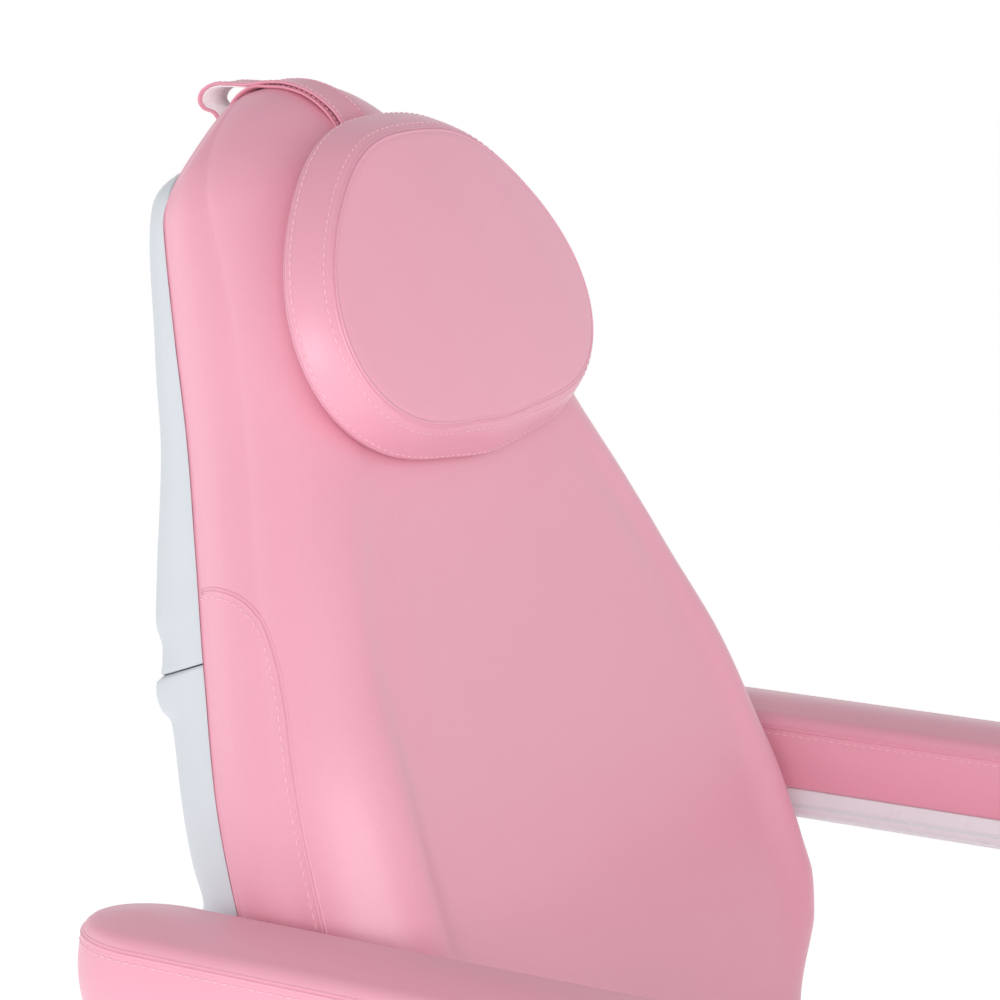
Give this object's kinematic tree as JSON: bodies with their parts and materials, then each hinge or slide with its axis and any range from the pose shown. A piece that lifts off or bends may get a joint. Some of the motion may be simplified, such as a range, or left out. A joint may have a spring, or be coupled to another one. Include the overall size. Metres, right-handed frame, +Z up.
{
  "type": "facial treatment bed",
  "caption": "Padded treatment bed with a reclining back, head pillow on a strap, fold-up armrests and a lowering leg rest on a telescopic lift column.",
  "frame": {"origin": "on the floor, in the middle of the bed's outer box", "axes": "+Z up, +X towards the sitter's left, the sitter faces -Y"},
  "size_m": [0.7914, 1.4122, 1.3428],
  "materials": {
    "pink_upholstery": "soft satin coated fabric over foam, light pink",
    "pink_webbing": "coated strap, light pink, satin",
    "white_moulding": "white moulded plastic with a fine texture",
    "white_rail": "satin white coated aluminium rail",
    "white_powder_coat": "white powder coat",
    "bright_steel": "zinc plated",
    "plywood": "plain sawn plywood",
    "nylon": "natural nylon",
    "black_plastic": "black moulded plastic",
    "black_rubber": "matt rubber"
  },
  "bodies": {
    "base": {"foot_pads": "black_rubber", "foot_studs": "bright_steel", "base_frame": "white_powder_coat", "base_cover": "white_moulding", "mains_inlet": "black_plastic", "column_outer": "white_powder_coat", "outer_glides": "nylon", "lift_drive_tube": "black_plastic", "shroud_lower": "white_moulding"},
    "lift_stage": {"column_middle": "white_powder_coat", "middle_glides": "nylon", "lift_drive_stage": "bright_steel", "shroud_middle": "white_moulding"},
    "seat": {"column_inner": "white_powder_coat", "lift_drive_rod": "bright_steel", "shroud_upper": "white_moulding", "lift_head": "white_powder_coat", "seat_frame": "white_powder_coat", "seat_board": "plywood", "seat_cushion": "pink_upholstery", "seat_skirt": "white_moulding", "seat_hinge_plates": "white_powder_coat", "hinge_pins": "bright_steel", "control_box": "black_plastic", "armrest_post_left": "white_powder_coat", "armrest_post_right": "white_powder_coat", "actuator_anchor_plates": "white_powder_coat", "actuator_anchor_pins": "bright_steel"},
    "back": {"back_board": "plywood", "back_cushion": "pink_upholstery", "back_frame": "white_powder_coat", "back_hinge_arms": "white_powder_coat", "back_lever": "white_powder_coat", "back_lever_pin": "bright_steel", "back_shell_upper": "white_moulding", "back_shell_lower": "white_moulding", "back_shell_screws": "bright_steel", "strap_under": "pink_webbing", "strap_over": "pink_webbing"},
    "pillow": {"head_pillow": "pink_upholstery"},
    "leg_rest": {"leg_board": "plywood", "leg_cushion": "pink_upholstery", "leg_frame": "white_powder_coat", "leg_hinge_arms": "white_powder_coat", "leg_lever": "white_powder_coat", "leg_lever_pin": "bright_steel", "leg_shell": "white_moulding"},
    "armrest_left": {"armrest_pad_left": "pink_upholstery", "armrest_rail_left": "white_rail", "armrest_clevis_left": "white_powder_coat", "armrest_pin_left": "bright_steel"},
    "armrest_right": {"armrest_pad_right": "pink_upholstery", "armrest_rail_right": "white_rail", "armrest_clevis_right": "white_powder_coat", "armrest_pin_right": "bright_steel"},
    "back_actuator": {"back_actuator_body": "black_plastic"},
    "back_rod": {"back_actuator_rod": "bright_steel"},
    "leg_actuator": {"leg_actuator_body": "black_plastic"},
    "leg_rod": {"leg_actuator_rod": "bright_steel"}
  },
  "joints": [
    {"name": "lift", "type": "slide", "parent": "base", "child": "seat", "axis": [0, 0, 1], "range_m": [0, 0.26]},
    {"name": "lift_stage_slide", "type": "slide", "parent": "base", "child": "lift_stage", "axis": [0, 0, 1], "range_m": [0, 0.13]},
    {"name": "back_recline", "type": "hinge", "parent": "seat", "child": "back", "pos_m": [0, 0.307, 0.5], "axis": [1, 0, 0], "range_deg": [-68.9, 5]},
    {"name": "leg_raise", "type": "hinge", "parent": "seat", "child": "leg_rest", "pos_m": [0, -0.271, 0.453], "axis": [1, 0, 0], "range_deg": [-45, 10]},
    {"name": "pillow_slide", "type": "slide", "parent": "back", "child": "pillow", "axis": [0, -0.36, -0.933], "range_m": [0, 0.06]},
    {"name": "armrest_left_fold", "type": "hinge", "parent": "seat", "child": "armrest_left", "pos_m": [0.35285, 0.362, 0.688], "axis": [-1, 0, 0], "range_deg": [0, 85]},
    {"name": "armrest_right_fold", "type": "hinge", "parent": "seat", "child": "armrest_right", "pos_m": [-0.35285, 0.362, 0.688], "axis": [-1, 0, 0], "range_deg": [0, 85]},
    {"name": "back_actuator_swing", "type": "hinge", "parent": "seat", "child": "back_actuator", "pos_m": [0, 0.1007, 0.4044], "axis": [1, 0, 0], "range_deg": [-10.99, 0.82]},
    {"name": "back_actuator_stroke", "type": "slide", "parent": "back_actuator", "child": "back_rod", "axis": [0, 0.9582, 0.2862], "range_m": [-0.06316, 0.00471]},
    {"name": "leg_actuator_swing", "type": "hinge", "parent": "seat", "child": "leg_actuator", "pos_m": [0, -0.0839, 0.3973], "axis": [1, 0, 0], "range_deg": [-8.34, 1.87]},
    {"name": "leg_actuator_stroke", "type": "slide", "parent": "leg_actuator", "child": "leg_rod", "axis": [0, -0.999, -0.0445], "range_m": [-0.0095, 0.04239]}
  ],
  "couplings": [
    {"joint": "lift_stage_slide", "follows": "lift", "ratio": 0.5},
    {"joint": "back_actuator_swing", "follows": "back_recline", "ratio": 0.1592},
    {"joint": "back_actuator_stroke", "follows": "back_recline", "m_per_rad": 0.05241},
    {"joint": "leg_actuator_swing", "follows": "leg_raise", "ratio": 0.1849},
    {"joint": "leg_actuator_stroke", "follows": "leg_raise", "m_per_rad": -0.05384}
  ]
}
